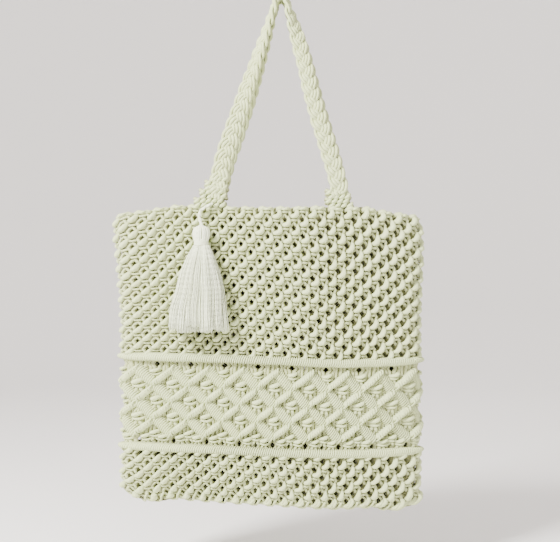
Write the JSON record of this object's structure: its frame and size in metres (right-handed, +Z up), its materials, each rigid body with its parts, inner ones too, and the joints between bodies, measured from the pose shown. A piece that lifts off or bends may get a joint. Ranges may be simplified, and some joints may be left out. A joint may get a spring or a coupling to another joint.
{
  "type": "macrame tote bag",
  "caption": "Flat macrame tote bag of knotted cotton cord with ribs, a diamond lattice band, plaited handles and a hanging tassel.",
  "frame": {"origin": "hanging point, under the top of the two handles where the bag hangs", "axes": "+X to the right along the front as seen from the front, +Y from the front panel to the back panel, +Z up"},
  "size_m": [0.359, 0.0699, 0.5971],
  "materials": {
    "cotton_cord": "matt twisted cotton cord, pale ecru",
    "tassel_cotton": "matt combed cotton strands, off-white"
  },
  "bodies": {
    "root": {"upper_field": "cotton_cord", "upper_rib": "cotton_cord", "diamond_band": "cotton_cord", "lower_rib": "cotton_cord", "lower_field": "cotton_cord", "handle_front": "cotton_cord", "handle_back": "cotton_cord", "tassel_tie": "tassel_cotton", "tassel_head": "tassel_cotton", "tassel_binding": "tassel_cotton", "tassel_skirt": "tassel_cotton"}
  },
  "joints": []
}
